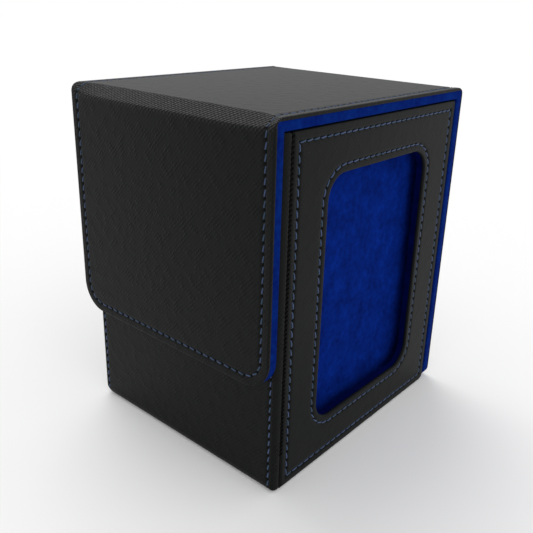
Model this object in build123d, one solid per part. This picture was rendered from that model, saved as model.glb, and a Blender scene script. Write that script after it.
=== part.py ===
from build123d import *
import os

# A flip-top deck box for trading cards, made of lined boards covered in leatherette.
# Millimetres, +Z up. The origin is the middle of the box's foot, the flap faces -Y,
# and the display window faces +X.

# Overall size of the closed box
WIDTH = 80.0
DEPTH = 93.2
HEIGHT = 107.0

# Sheet materials
LEATHER = 0.9
LINING = 0.4
WALL_BOARD = 1.4
LID_BOARD = 2.2
FRAME_BOARD = 1.5
INNER_BOARD = 1.2

# Wall and lid build-ups, outside to inside
WALL = LEATHER + WALL_BOARD + LINING
LID = LEATHER + LID_BOARD + LINING
FRAME = LEATHER + FRAME_BOARD + LINING
INNER = LINING + INNER_BOARD + LINING

# Clearances
LID_GAP = 0.3
FLAP_GAP = 0.4
PANEL_GAP = 0.3
FOOT_GAP = 0.3
HINGE_GAP = 0.3

# The box under the lid strip
OVERHANG_LEFT = 1.8
OVERHANG_RIGHT = 0.3
BOX_LEFT = -WIDTH / 2 + OVERHANG_LEFT
BOX_RIGHT = WIDTH / 2 - OVERHANG_RIGHT
BOX_FRONT = -DEPTH / 2 + LID + FLAP_GAP
BOX_BACK = DEPTH / 2 - LID
BOX_TOP = HEIGHT - LID - LID_GAP
RIM_TURN_IN = 4.0
EDGE_ROUND = 0.6
CORNER_ROUND = 1.2
FOOT_FLAT = 0.1
FOOT_BEND = WALL - EDGE_ROUND - FOOT_FLAT

# The card well and the display pocket beside it
POCKET = 2.7
WELL_LEFT = BOX_LEFT + WALL
FRAME_INSIDE = BOX_RIGHT - FRAME
POCKET_BACK = FRAME_INSIDE - POCKET
WELL_RIGHT = POCKET_BACK - INNER
WELL_FRONT = BOX_FRONT + WALL
WELL_BACK = BOX_BACK - WALL
WELL_FLOOR = WALL
PANEL_FRONT = WELL_FRONT + PANEL_GAP
PANEL_BACK = BOX_BACK - PANEL_GAP
INNER_WALL_DROP = 1.0
CARD_ROOM = 68.0
CARD_STANDS_ON = 5.5

# The display window
WINDOW_MIDDLE_Y = 1.4
WINDOW_LOW = 14.5
WINDOW_WIDTH = 50.4
WINDOW_HEIGHT = 75.1
WINDOW_ROUND = 7.0
WINDOW_SPAN_Y = (WINDOW_MIDDLE_Y - WINDOW_WIDTH / 2 - 1, WINDOW_MIDDLE_Y + WINDOW_WIDTH / 2 + 1)
WINDOW_SPAN_Z = (WINDOW_LOW - 1, WINDOW_LOW + WINDOW_HEIGHT + 1)

# The lid strip: back panel, lid and flap
FOLD = 4.4
FOLD_SEAM = FOLD - LEATHER
FOLD_INSIDE = FOLD - LID
LID_END = DEPTH / 2 - FOLD
LID_REAR = LID_END - HINGE_GAP
FLAP_TOP = HEIGHT - FOLD - HINGE_GAP
LID_UNDER = HEIGHT - LID
LID_SEAM = HEIGHT - LEATHER
FLAP_LOW = 34.8
FLAP_ROUND = 8.7
BACK_LOW = 0.4
BACK_ROUND = 5.0
PANEL_EDGE_ROUND = 0.5

# The magnets that hold the flap shut
MAGNET_RADIUS = 5.0
MAGNET_THICK = 1.2
MAGNET_SPREAD = 20.0
MAGNET_HEIGHT = 46.0


def slab(low, high):
    """A block between two corners."""
    size = [b - a for a, b in zip(low, high)]
    return Pos(*low) * Box(*size, align=(Align.MIN, Align.MIN, Align.MIN))


def upright_plate(x_span, z_span, y_span, lower_round):
    """A plate that faces the front, with its two lower corners rounded."""
    width = x_span[1] - x_span[0]
    height = z_span[1] - z_span[0]
    face = Rectangle(width, height)
    if lower_round > 0:
        face = fillet(face.vertices().sort_by(Axis.Y)[:2], lower_round)
    middle = ((x_span[0] + x_span[1]) / 2, y_span[1], (z_span[0] + z_span[1]) / 2)
    return Plane(origin=middle, x_dir=(1, 0, 0), z_dir=(0, -1, 0)) * extrude(face, y_span[1] - y_span[0])


def window_plug(x_span, grow):
    """The display window's outline as a solid, larger all round by grow."""
    face = RectangleRounded(WINDOW_WIDTH + 2 * grow, WINDOW_HEIGHT + 2 * grow, WINDOW_ROUND + grow)
    middle = (x_span[0], WINDOW_MIDDLE_Y, WINDOW_LOW + WINDOW_HEIGHT / 2)
    return Plane(origin=middle, x_dir=(0, 1, 0), z_dir=(1, 0, 0)) * extrude(face, x_span[1] - x_span[0])


def edges_on(source, axis, place):
    """The edges of a solid, or those already picked, that lie at a place along an axis."""
    edges = source if isinstance(source, ShapeList) else source.edges()
    return edges.filter_by_position(axis, place - 1e-4, place + 1e-4)


def disc_pair(y_middle):
    """Two magnet discs side by side behind the lower part of the flap."""
    pair = []
    for side in (-1, 1):
        middle = (side * MAGNET_SPREAD, y_middle, MAGNET_HEIGHT)
        disc = Cylinder(MAGNET_RADIUS, MAGNET_THICK)
        pair.append(Pos(*middle) * Rot(90, 0, 0) * disc)
    return pair


def round_free_ends(body, outside, x_span):
    """Round the outer corners of a wall whose two ends stand free. The rounds run on
    from each corner along the bend at its foot."""
    corners = ShapeList()
    for end in x_span:
        corners += edges_on(edges_on(body, Axis.X, end), Axis.Y, outside)
    return fillet(corners, CORNER_ROUND)


def end_wall(outside, inside, x_span, board_span, ends_free):
    """Front or rear wall: a covered board whose leatherette bends under at the foot
    and turns over the rim, with a lining sheet let in below the turned edge."""
    into = 1 if inside > outside else -1
    y_span = (min(outside, inside), max(outside, inside))
    body = slab((x_span[0], y_span[0], 0), (x_span[1], y_span[1], BOX_TOP))
    body = fillet(edges_on(edges_on(body, Axis.Z, 0), Axis.Y, outside), FOOT_BEND)
    if ends_free:
        body = round_free_ends(body, outside, x_span)
        rim = edges_on(body, Axis.Z, BOX_TOP)
    else:
        rim = edges_on(body, Axis.Z, BOX_TOP).filter_by(Axis.X)
    inner_foot = edges_on(body, Axis.Y, inside).filter_by(Axis.X).sort_by(Axis.Z)[:1]
    body = fillet(rim + inner_foot, EDGE_ROUND)
    board_y = (outside + into * LEATHER, inside - into * LINING)
    board = slab(
        (board_span[0], min(board_y), WALL),
        (board_span[1], max(board_y), BOX_TOP - LEATHER),
    )
    lining_y = (inside - into * LINING, inside)
    lining = slab(
        (WELL_LEFT, min(lining_y), WELL_FLOOR),
        (FRAME_INSIDE, max(lining_y), BOX_TOP - RIM_TURN_IN),
    )
    return body - board - lining, board, lining


def side_panel(outside, inside):
    """A side panel with rounded outer edges, and the board inside it."""
    into = 1 if inside > outside else -1
    panel = slab(
        (min(outside, inside), PANEL_FRONT, FOOT_GAP), (max(outside, inside), PANEL_BACK, BOX_TOP)
    )
    panel = fillet(edges_on(panel, Axis.X, outside), EDGE_ROUND)
    board_x = (outside + into * LEATHER, inside - into * LINING)
    board = slab(
        (min(board_x), PANEL_FRONT + LEATHER, FOOT_GAP + LEATHER),
        (max(board_x), PANEL_BACK - LEATHER, BOX_TOP - LEATHER),
    )
    return panel, board


def quarter_bend(outer, inner, middle_y, toward, rounded):
    """A quarter ring along the width: the bend of the lid strip over a top edge.
    The arcs of the radius named rounded, at its two ends, have soft edges."""
    profile = Circle(outer) - Circle(inner)
    corner = Pos(toward * outer, outer) * Rectangle(2 * outer, 2 * outer)
    quarter = profile & corner
    place = Plane(
        origin=(-WIDTH / 2, middle_y, HEIGHT - FOLD), x_dir=(0, 1, 0), z_dir=(1, 0, 0)
    )
    bend = place * extrude(quarter, WIDTH)
    arcs = bend.edges().filter_by(GeomType.CIRCLE)
    return fillet([arc for arc in arcs if abs(arc.radius - rounded) < 0.01], PANEL_EDGE_ROUND)


def strip_panel(z_span, outside, inside, lower_round):
    """Cover, board and lining tray of an upright panel of the lid strip."""
    into = 1 if inside > outside else -1
    seam = outside + into * LEATHER
    x_span = (-WIDTH / 2, WIDTH / 2)
    cover = upright_plate(x_span, z_span, (min(outside, seam), max(outside, seam)), lower_round)
    below_fold = (z_span[0] - 1, z_span[1] - 0.01)
    free_edges = edges_on(cover, Axis.Y, outside).filter_by_position(Axis.Z, *below_fold)
    cover = fillet(free_edges, PANEL_EDGE_ROUND)
    tray = upright_plate(x_span, z_span, (min(seam, inside), max(seam, inside)), lower_round)
    free_edges = edges_on(tray, Axis.Y, inside).filter_by_position(Axis.Z, *below_fold)
    tray = fillet(free_edges, PANEL_EDGE_ROUND)
    floor = inside - into * LINING
    board = upright_plate(
        (x_span[0] + LINING, x_span[1] - LINING),
        (z_span[0] + LINING, z_span[1] - LINING),
        (min(seam, floor), max(seam, floor)),
        lower_round - LINING,
    )
    return cover, board, tray - board


nodes = {}

# Front wall: full width, its right end shows beside the display frame
front_wall = end_wall(
    BOX_FRONT,
    WELL_FRONT,
    (BOX_LEFT, BOX_RIGHT),
    (BOX_LEFT + LEATHER, BOX_RIGHT - LEATHER),
    ends_free=True,
)
nodes["front_wall_cover"], front_board, nodes["front_wall_lining"] = front_wall
wall_magnets = disc_pair(BOX_FRONT + LEATHER + MAGNET_THICK / 2)
nodes["front_wall_board"] = front_board - wall_magnets
nodes["wall_magnets"] = Compound(children=wall_magnets)

# Rear wall: between the side panels, glued to the back panel of the lid strip
between_sides = (WELL_LEFT, FRAME_INSIDE)
rear_wall = end_wall(BOX_BACK, WELL_BACK, between_sides, between_sides, ends_free=False)
nodes["rear_wall_cover"], nodes["rear_wall_board"], nodes["rear_wall_lining"] = rear_wall

# Base: a covered board between the other four walls
nodes["base_cover"] = slab((WELL_LEFT, WELL_FRONT, 0), (FRAME_INSIDE, WELL_BACK, LEATHER))
nodes["base_board"] = slab(
    (WELL_LEFT, WELL_FRONT, LEATHER), (FRAME_INSIDE, WELL_BACK, WALL - LINING)
)
nodes["base_lining"] = slab(
    (WELL_LEFT, WELL_FRONT, WALL - LINING), (WELL_RIGHT, WELL_BACK, WELL_FLOOR)
)

# Plain side wall, let in between the front wall and the back panel
side_wall, nodes["side_wall_board"] = side_panel(BOX_LEFT, WELL_LEFT)
nodes["side_wall_lining"] = slab(
    (WELL_LEFT - LINING, WELL_FRONT, WELL_FLOOR), (WELL_LEFT, WELL_BACK, BOX_TOP - RIM_TURN_IN)
)
nodes["side_wall_cover"] = side_wall - nodes["side_wall_board"] - nodes["side_wall_lining"]

# Inner wall: microfibre folded over the top edge of a thin board
INNER_TOP = BOX_TOP - INNER_WALL_DROP
inner_wall = slab((WELL_RIGHT, WELL_FRONT, WALL - LINING), (POCKET_BACK, WELL_BACK, INNER_TOP))
inner_wall = fillet(edges_on(inner_wall, Axis.Z, INNER_TOP).filter_by(Axis.Y), EDGE_ROUND)
inner_board = slab(
    (WELL_RIGHT + LINING, WELL_FRONT, WALL - LINING),
    (POCKET_BACK - LINING, WELL_BACK, INNER_TOP - LINING),
)
nodes["inner_wall_board"] = inner_board
nodes["inner_wall_lining"] = inner_wall - inner_board - nodes["base_lining"]

# Spacer strips that hold the pocket open behind the display frame
CARD_FRONT = WINDOW_MIDDLE_Y - CARD_ROOM / 2
CARD_REAR = WINDOW_MIDDLE_Y + CARD_ROOM / 2
nodes["pocket_front_strip"] = slab(
    (POCKET_BACK, WELL_FRONT, WALL - LINING), (FRAME_INSIDE, CARD_FRONT, INNER_TOP)
)
nodes["pocket_rear_strip"] = slab(
    (POCKET_BACK, CARD_REAR, WALL - LINING), (FRAME_INSIDE, WELL_BACK, INNER_TOP)
)
nodes["pocket_floor_strip"] = slab(
    (POCKET_BACK, CARD_FRONT, WALL - LINING), (FRAME_INSIDE, CARD_REAR, CARD_STANDS_ON)
)

# Display frame: leatherette turned over the outer edges, microfibre through the window
frame_panel, frame_board = side_panel(BOX_RIGHT, FRAME_INSIDE)
frame_back = slab(
    (FRAME_INSIDE, PANEL_FRONT + LEATHER, FOOT_GAP + LEATHER),
    (FRAME_INSIDE + LINING, PANEL_BACK - LEATHER, BOX_TOP - LEATHER),
)
window = window_plug((FRAME_INSIDE - 1, BOX_RIGHT + 1), 0)
reveal = window_plug((FRAME_INSIDE + LINING, BOX_RIGHT - LEATHER), LINING)
frame_cover = frame_panel - frame_board - frame_back - window
window_rim = edges_on(frame_cover, Axis.X, BOX_RIGHT)
window_rim = window_rim.filter_by_position(Axis.Y, *WINDOW_SPAN_Y)
window_rim = window_rim.filter_by_position(Axis.Z, *WINDOW_SPAN_Z)
nodes["display_frame_cover"] = fillet(window_rim, EDGE_ROUND)
nodes["display_frame_board"] = frame_board - reveal
nodes["display_frame_lining"] = frame_back + reveal - window

# Lid strip, rear: glued to the rear wall, with the bend above it
back_panel = strip_panel((BACK_LOW, HEIGHT - FOLD), DEPTH / 2, BOX_BACK, BACK_ROUND)
nodes["back_panel_cover"], nodes["back_panel_board"], nodes["back_panel_lining"] = back_panel
nodes["rear_fold_cover"] = quarter_bend(FOLD, FOLD_SEAM, LID_END, 1, FOLD)
nodes["rear_fold_lining"] = quarter_bend(FOLD_SEAM, FOLD_INSIDE, LID_END, 1, FOLD_INSIDE)

# Lid strip, top. A narrow gap behind it lets its end swing clear of the rear bend
lid_cover = slab((-WIDTH / 2, -LID_END, LID_SEAM), (WIDTH / 2, LID_REAR, HEIGHT))
nodes["lid_cover"] = fillet(edges_on(lid_cover, Axis.Z, HEIGHT).filter_by(Axis.Y), PANEL_EDGE_ROUND)
lid_tray = slab((-WIDTH / 2, -LID_END, LID_UNDER), (WIDTH / 2, LID_REAR, LID_SEAM))
lid_tray = fillet(edges_on(lid_tray, Axis.Z, LID_UNDER).filter_by(Axis.Y), PANEL_EDGE_ROUND)
nodes["lid_board"] = slab(
    (-WIDTH / 2 + LINING, -LID_END + LINING, LID_UNDER + LINING),
    (WIDTH / 2 - LINING, LID_REAR - LINING, LID_SEAM),
)
nodes["lid_lining"] = lid_tray - nodes["lid_board"]
nodes["front_fold_cover"] = quarter_bend(FOLD, FOLD_SEAM, -LID_END, -1, FOLD)
nodes["front_fold_lining"] = quarter_bend(FOLD_SEAM, FOLD_INSIDE, -LID_END, -1, FOLD_INSIDE)

# Lid strip, front: the flap over the front wall, with the same gap under its bend
FLAP_INSIDE = -DEPTH / 2 + LID
flap = strip_panel((FLAP_LOW, FLAP_TOP), -DEPTH / 2, FLAP_INSIDE, FLAP_ROUND)
nodes["flap_cover"], flap_board, nodes["flap_lining"] = flap
flap_magnets = disc_pair(FLAP_INSIDE - LINING - MAGNET_THICK / 2)
nodes["flap_board"] = flap_board - flap_magnets
nodes["flap_magnets"] = Compound(children=flap_magnets)

os.makedirs("parts", exist_ok=True)
for name, solid in nodes.items():
    export_step(solid, os.path.join("parts", name + ".step"))
    print(name, round(solid.volume, 1))
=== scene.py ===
import math

import bmesh
import bpy
import numpy as np
from mathutils import Matrix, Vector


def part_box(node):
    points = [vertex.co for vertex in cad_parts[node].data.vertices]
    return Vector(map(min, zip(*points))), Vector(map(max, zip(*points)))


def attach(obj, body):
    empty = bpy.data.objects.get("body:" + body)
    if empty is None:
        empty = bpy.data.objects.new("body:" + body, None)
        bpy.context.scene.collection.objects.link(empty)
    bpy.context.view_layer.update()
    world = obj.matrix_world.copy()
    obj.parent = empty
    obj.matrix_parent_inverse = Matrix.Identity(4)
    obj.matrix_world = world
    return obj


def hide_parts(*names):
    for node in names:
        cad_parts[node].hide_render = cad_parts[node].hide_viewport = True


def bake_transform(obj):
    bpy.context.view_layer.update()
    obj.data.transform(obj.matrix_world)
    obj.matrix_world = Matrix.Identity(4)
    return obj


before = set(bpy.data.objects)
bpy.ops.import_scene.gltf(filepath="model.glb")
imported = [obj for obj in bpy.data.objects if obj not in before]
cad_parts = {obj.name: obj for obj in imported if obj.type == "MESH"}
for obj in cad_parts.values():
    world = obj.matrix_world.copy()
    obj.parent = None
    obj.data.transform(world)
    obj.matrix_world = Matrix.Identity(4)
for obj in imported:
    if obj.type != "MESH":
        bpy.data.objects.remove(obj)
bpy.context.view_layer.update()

# The studio: a white paper sweep under even, soft light. The camera stands where the
# photograph was taken, off the right-hand front corner and a little above the lid.
MM = 0.001
CAMERA_PLACE = (136.52 * MM, -159.62 * MM, 132.36 * MM)
CAMERA_TURN = 39.692
CAMERA_TILT = 69.328
CAMERA_ROLL = 2.014
CAMERA_LENS = 44.922
CAMERA_SHIFT = (-0.0261, -0.03466)
FILM_WIDTH = 36
SKY_LIGHT = 0.62
# Each lamp has its strength, then its turn about the upright, its height above the floor
# and its width across the sky, in degrees.
LAMPS = {"key": (0.9, -112, 58, 40), "fill": (0.4, 66, 48, 60)}
FLOOR_SIZE = 6.0
PAPER_WHITE = "#fafafa"
PAPER_GLOW = 0.09


def linear(colour):
    """An sRGB hex colour as linear red, green, blue and alpha."""
    parts = np.array([int(colour[i:i + 2], 16) for i in (1, 3, 5)]) / 255
    low, high = parts / 12.92, ((parts + 0.055) / 1.055) ** 2.4
    return (*np.where(parts <= 0.04045, low, high), 1.0)


def add(owner, kind, inputs=(), **settings):
    """Adds a node to a material or world. Settings are the node's own choices, and each
    input is a value or the socket that feeds it."""
    made = owner.node_tree.nodes.new(kind)
    for name, value in settings.items():
        setattr(made, name, value)
    for socket, value in dict(inputs).items():
        if isinstance(value, bpy.types.NodeSocket):
            owner.node_tree.links.new(value, made.inputs[socket])
        else:
            made.inputs[socket].default_value = value
    return made


def blank(name):
    """A new material with no nodes in it yet."""
    made = bpy.data.materials.new(name)
    made.use_nodes = True
    made.node_tree.nodes.clear()
    return made


scene = bpy.context.scene
scene.view_settings.view_transform = "Standard"

camera_data = bpy.data.cameras.new("photo_camera")
camera_data.sensor_width = FILM_WIDTH
camera_data.lens = CAMERA_LENS
camera_data.shift_x, camera_data.shift_y = CAMERA_SHIFT
camera_data.clip_start = MM
camera = bpy.data.objects.new("photo_camera", camera_data)
scene.collection.objects.link(camera)
camera.matrix_world = (
    Matrix.Translation(CAMERA_PLACE)
    @ Matrix.Rotation(math.radians(CAMERA_TURN), 4, "Z")
    @ Matrix.Rotation(math.radians(CAMERA_TILT), 4, "X")
    @ Matrix.Rotation(math.radians(CAMERA_ROLL), 4, "Z")
)
scene.camera = camera

sky = bpy.data.worlds.new("studio")
sky.use_nodes = True
sky.node_tree.nodes.clear()
ray = add(sky, "ShaderNodeLightPath").outputs
mirrored = add(
    sky, "ShaderNodeMath", {0: ray["Is Glossy Ray"], 1: ray["Is Transmission Ray"]},
    operation="MAXIMUM",
)
seen = add(
    sky, "ShaderNodeMath", {0: ray["Is Camera Ray"], 1: mirrored.outputs[0]}, operation="MAXIMUM"
)
glow = add(
    sky, "ShaderNodeMapRange", {"Value": seen.outputs[0], "To Min": SKY_LIGHT, "To Max": 1.0}
)
white = add(sky, "ShaderNodeBackground", {"Color": (1, 1, 1, 1), "Strength": glow.outputs[0]})
add(sky, "ShaderNodeOutputWorld", {"Surface": white.outputs[0]})
scene.world = sky

for name, (power, turn, height, spread) in LAMPS.items():
    lamp_data = bpy.data.lights.new(name, "SUN")
    lamp_data.energy = power
    lamp_data.angle = math.radians(spread)
    lamp = bpy.data.objects.new(name, lamp_data)
    scene.collection.objects.link(lamp)
    lamp.matrix_world = (
        Matrix.Rotation(math.radians(turn), 4, "Z") @ Matrix.Rotation(math.radians(90 - height), 4, "X")
    )

# The paper is as white in the picture as a bright sweep is, and still keeps the shadow.
paper = blank("white_paper_sweep")
ray = add(paper, "ShaderNodeLightPath").outputs
seen = add(
    paper, "ShaderNodeMath", {0: ray["Is Camera Ray"], 1: ray["Is Glossy Ray"]}, operation="MAXIMUM"
)
lift = add(paper, "ShaderNodeMath", {0: seen.outputs[0], 1: PAPER_GLOW}, operation="MULTIPLY")
matt = add(paper, "ShaderNodeBsdfDiffuse", {"Color": linear(PAPER_WHITE)})
bright = add(paper, "ShaderNodeEmission", {"Strength": lift.outputs[0]})
sweep = add(paper, "ShaderNodeAddShader", {0: matt.outputs[0], 1: bright.outputs[0]})
add(paper, "ShaderNodeOutputMaterial", {"Surface": sweep.outputs[0]})
floor_mesh = bpy.data.meshes.new("floor")
floor_corners = [
    (x * FLOOR_SIZE / 2, y * FLOOR_SIZE / 2, 0) for x, y in ((-1, -1), (1, -1), (1, 1), (-1, 1))
]
floor_mesh.from_pydata(floor_corners, [], [(0, 1, 2, 3)])
floor_mesh.materials.append(paper)
floor = bpy.data.objects.new("floor", floor_mesh)
scene.collection.objects.link(floor)

# The boards: grey millboard cut to size inside every wall, the lid and the flap. They stay
# as the frame has them, matt and faintly flecked with recycled fibre.
BOARD_GREYS = ("#8a867f", "#a5a199")
BOARD_FLECK = 0.8
BOARD_ROUGH = 0.9
BOARD_NODES = [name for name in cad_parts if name.endswith("_board")]


def span(node):
    """Lowest and highest corner of a node of the frame, in millimetres."""
    low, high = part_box(node)
    return np.array(low) / MM, np.array(high) / MM


def dress(names, material):
    """Gives nodes of the frame their finish, in place of the plain one they came with."""
    for name in names:
        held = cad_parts[name]
        held.data.materials.clear()
        held.data.materials.append(material)


millboard = blank("grey_millboard")
place = add(millboard, "ShaderNodeTexCoord")
fleck = add(
    millboard, "ShaderNodeTexNoise",
    {"Vector": place.outputs["Object"], "Scale": 1 / (BOARD_FLECK * MM), "Detail": 3.0},
)
grey = add(
    millboard, "ShaderNodeMix",
    {0: fleck.outputs["Fac"], 6: linear(BOARD_GREYS[0]), 7: linear(BOARD_GREYS[1])},
    data_type="RGBA",
)
pulp = add(
    millboard, "ShaderNodeBsdfPrincipled", {"Base Color": grey.outputs[2], "Roughness": BOARD_ROUGH}
)
add(millboard, "ShaderNodeOutputMaterial", {"Surface": pulp.outputs[0]})
dress(BOARD_NODES, millboard)

# The magnets: nickel-plated steel-backed discs pressed into round seats in the front board
# and the flap board, hidden once the box is covered. The plating is bright, and fine scuffs
# dull it in patches.
NICKEL = "#b9b6ad"
NICKEL_ROUGH = (0.2, 0.38)
SCUFFS_PER_MM = 0.9

nickel = blank("nickel_plate")
place = add(nickel, "ShaderNodeTexCoord")
scuff = add(
    nickel, "ShaderNodeTexNoise", {"Vector": place.outputs["Object"], "Scale": SCUFFS_PER_MM / MM}
)
worn = add(
    nickel, "ShaderNodeMapRange",
    {"Value": scuff.outputs["Fac"], "To Min": NICKEL_ROUGH[0], "To Max": NICKEL_ROUGH[1]},
)
plate = add(
    nickel, "ShaderNodeBsdfPrincipled",
    {"Base Color": linear(NICKEL), "Metallic": 1.0, "Roughness": worn.outputs[0]},
)
add(nickel, "ShaderNodeOutputMaterial", {"Surface": plate.outputs[0]})
dress(["wall_magnets", "flap_magnets"], nickel)

# The linings: blue brushed microfibre glued to the inside of every wall, round the inner
# wall and its spacer strips, and through the window. Its short nap lies in soft patches.
# Where it turns through the window its colour is darkened to nearly black: painted shade
# for the deep, narrow reveal.
NAP_WELL = ("#041a60", "#072a88")
# The reveal's two shades, darkened as painted shade for the recess.
NAP_SHADED_REVEAL = ("#020735", "#030c48")
NAP_PATCH = 7.0
NAP_BRUSH = 1.6
NAP_FIBRE = 0.22
NAP_HEIGHT = 0.05
NAP_SPREAD = (0.7, 1.3)
NAP_ROUGH = 0.95
NAP_GLOSS = 0.02
# How strong the sheen of the nap is, how widely it spreads, and its colour.
NAP_FUZZ = 0.08
NAP_FUZZ_ROUGH = 0.5
NAP_SHEEN = "#1238d0"
WELL_LININGS = [
    "base_lining", "side_wall_lining", "front_wall_lining", "rear_wall_lining", "inner_wall_lining",
    "pocket_front_strip", "pocket_rear_strip", "pocket_floor_strip",
]


def brushed_microfibre(name, shades):
    """Microfibre whose colour runs between two shades with the lay of its nap: the sum of
    a broad noise and a brushed one. A fine noise stands for the ends of the fibres."""
    made = blank(name)
    place = add(made, "ShaderNodeTexCoord")
    patch, brush, fibre = [
        add(
            made, "ShaderNodeTexNoise",
            {"Vector": place.outputs["Object"], "Scale": 1 / (size * MM), "Detail": detail},
        )
        for size, detail in ((NAP_PATCH, 3.0), (NAP_BRUSH, 4.0), (NAP_FIBRE, 2.0))
    ]
    lay = add(made, "ShaderNodeMath", {0: patch.outputs["Fac"], 1: brush.outputs["Fac"]}, operation="ADD")
    mottle = add(
        made, "ShaderNodeMapRange",
        {"Value": lay.outputs[0], "From Min": NAP_SPREAD[0], "From Max": NAP_SPREAD[1]},
    )
    blue = add(
        made, "ShaderNodeMix", {0: mottle.outputs[0], 6: linear(shades[0]), 7: linear(shades[1])},
        data_type="RGBA",
    )
    pile = add(made, "ShaderNodeBump", {"Height": fibre.outputs["Fac"], "Distance": NAP_HEIGHT * MM})
    suede = add(
        made, "ShaderNodeBsdfPrincipled",
        {
            "Base Color": blue.outputs[2], "Roughness": NAP_ROUGH, "Specular IOR Level": NAP_GLOSS,
            "Sheen Weight": NAP_FUZZ, "Sheen Roughness": NAP_FUZZ_ROUGH,
            "Sheen Tint": linear(NAP_SHEEN), "Normal": pile.outputs[0],
        },
    )
    add(made, "ShaderNodeOutputMaterial", {"Surface": suede.outputs[0]})
    return made


dress(WELL_LININGS, brushed_microfibre("brushed_microfibre", NAP_WELL))
# The window's reveal takes the darker copy of the microfibre: painted shade.
dress(["display_frame_lining"], brushed_microfibre("reveal_microfibre_painted_shade", NAP_SHADED_REVEAL))

# The base: a board in black leatherette, let in between the four walls. The leatherette is
# PVC on a woven back, embossed hot between rollers with two crossing families of grooves.
# To the eye it is a satin black, whose fine beads catch the light; its grooves and needle
# holes are painted towards near black and lose their gloss, as painted shade.
GRAIN_PITCH = 0.96
GRAIN_ANGLE = 46.0
GRAIN_GROOVE = 0.4
GRAIN_CROSS = 0.6
GRAIN_HEIGHT = 0.15
GRAIN_WANDER = 0.3
GRAIN_WANDER_SIZE = 1.9
GRAIN_WORN_SIZE = 3.2
GRAIN_WORN = (0.46, 0.64)
GRAIN_WORN_OFF = 3.0
GRAIN_SHADE = 0.5
GRAIN_POLISH = 0.2
PEBBLE = 0.45
PEBBLE_SHARE = 0.9
LEATHER_BLACK = "#0c0e0d"
LEATHER_GLOSS = 0.088
LEATHER_ROUGH = 0.46
# The near black painted into the grain's grooves and round the needle holes, as painted shade.
PAINTED_SHADE_BLACK = "#040405"
BASE_EDGE = 0.3
BASE_BREAK = 0.1
BASE_EMBOSS = 0.3
BASE_STEPS = (40, 40)
BASE_ROWS = 12
BASE_BENDS = 3
CORNER_STEPS = 6
SHARP_ANGLE = 48


def outline(corners, steps, bends=CORNER_STEPS, closed=True):
    """The edge of a flat pattern as columns, each of which can be set in by a distance.

    Corners run clockwise as x, y, their outward sign in x and in y, and their radius. Each
    side has the shares of its length at which its columns stand, and each corner is a
    quarter circle of so many bends. A sign of 0 marks a cut end, which stays in place while
    the rest is set in. A column holds the five numbers of the corner behind it and of the
    one ahead, its share of the way between them, and its outward direction.
    """
    corners = np.array(corners, float)
    ahead = np.roll(corners, -1, axis=0)
    runs = (ahead - corners)[:, :2]
    normals = np.stack([-runs[:, 1], runs[:, 0]], 1) / np.linalg.norm(runs, axis=1)[:, None]
    sides = len(corners) if closed else len(corners) - 1
    columns = []
    for side in range(sides):
        share = steps[side][:, None]
        ends = np.hstack([corners[side], ahead[side]])
        outward = np.tile(normals[side], (len(share), 1))
        columns.append(np.hstack([np.tile(ends, (len(share), 1)), share, outward]))
        if closed or side < sides - 1:
            turn = np.linspace(0, math.pi / 2, bends + 1)[1:-1, None]
            facing = np.cos(turn) * normals[side] + np.sin(turn) * normals[(side + 1) % len(corners)]
            ends = np.hstack([ahead[side], ahead[side]])
            columns.append(np.hstack([np.tile(ends, (len(turn), 1)), 0 * turn, facing]))
    return np.concatenate(columns)


def inset(edge, distance):
    """Where an outline's columns lie once set in by a distance, one number or rows by
    columns. An arc shrinks with the distance, and past its radius the corner is sharp."""
    share, facing = edge[:, 10], edge[:, 11:]
    distance = np.atleast_2d(distance)

    def from_corner(corner):
        reach = np.maximum(corner[:, 4], distance)
        slack = np.maximum(corner[:, 4] - distance, 0)
        return np.stack(
            [corner[:, k] - corner[:, 2 + k] * reach + facing[:, k] * slack for k in (0, 1)], -1
        )

    return from_corner(edge[:, :5]) * (1 - share)[:, None] + from_corner(edge[:, 5:10]) * share[:, None]


def rectangle(width, height, radii, steps, bends=CORNER_STEPS):
    """The outline of a rectangle about the origin. Its radii run clockwise from the lower
    left corner."""
    signs = ((-1, -1), (-1, 1), (1, 1), (1, -1))
    corners = [(x * width / 2, y * height / 2, x, y, radius) for (x, y), radius in zip(signs, radii)]
    across, up = (np.linspace(0, 1, count + 1) for count in steps)
    return outline(corners, (up, across, up, across), bends)


def edge_rows(columns, face, middle, over, thick, under, tail, bends=5, drop=None):
    """The section of a sheet or a wrapped board as rows of inset, height and unrolled inset.

    It runs in from the middle of the face to a quarter ellipse, as long as over and as deep
    as drop, or a quarter circle where no drop is given. Then it runs down the edge, and
    round a radius under to the back at -thick. The tail is further points of inset and
    height. Over, drop, and any inset in the tail, may differ from column to column.
    """
    over = np.broadcast_to(over, columns)
    drop = over if drop is None else drop
    turn = np.linspace(0, math.pi / 2, bends + 1)[1:, None]
    by = [over + np.asarray(face)[:, None] * (1 - over / middle), over * (1 - np.sin(turn))]
    height = [np.zeros((len(face), columns)), -drop * (1 - np.cos(turn))]
    by.append(under * (1 - np.cos(turn)) * np.ones(columns))
    height.append(-(thick - under) - under * np.sin(turn) * np.ones(columns))
    for set_in, level in tail:
        by.append(np.broadcast_to(set_in, (1, columns)))
        height.append(np.full((1, columns), level))
    by, height = np.concatenate(by), np.concatenate(height)
    travel = np.hypot(np.diff(by, axis=0), np.diff(height, axis=0))
    unrolled = middle - np.concatenate([np.zeros((1, columns)), np.cumsum(travel, axis=0)])
    return by, height, unrolled


def flat_on(origin, right, up):
    """A place for flat work: its origin, and which way its right and its up run. It faces
    the way that a right-handed turn from right to up gives."""
    origin, right, up = (np.array(v, float) for v in (origin, right, up))
    out = np.cross(right, up)

    def place(x, y, height):
        return origin + x[..., None] * right + y[..., None] * up + height[..., None] * out

    return place


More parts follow.
